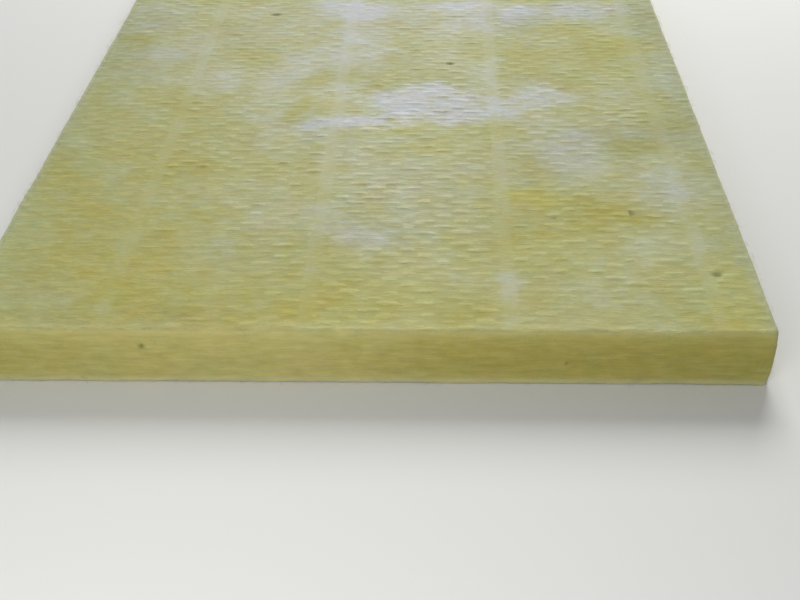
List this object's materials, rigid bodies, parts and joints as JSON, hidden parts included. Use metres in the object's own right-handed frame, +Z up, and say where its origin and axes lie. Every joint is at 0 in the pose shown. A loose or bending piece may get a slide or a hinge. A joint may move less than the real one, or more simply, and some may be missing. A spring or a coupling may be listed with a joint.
{
  "type": "glass wool insulation board",
  "caption": "Semi-rigid yellow glass wool insulation board with square sawn sides and smooth pressed bands along its length.",
  "frame": {"origin": "on the floor under the middle of the board as it lies flat", "axes": "+X across the width, +Y along the length, +Z up through the thickness"},
  "size_m": [1.2, 2.4, 0.1],
  "materials": {
    "glass_wool": "matte"
  },
  "bodies": {
    "root": {"glass_wool_board": "glass_wool"}
  },
  "joints": []
}
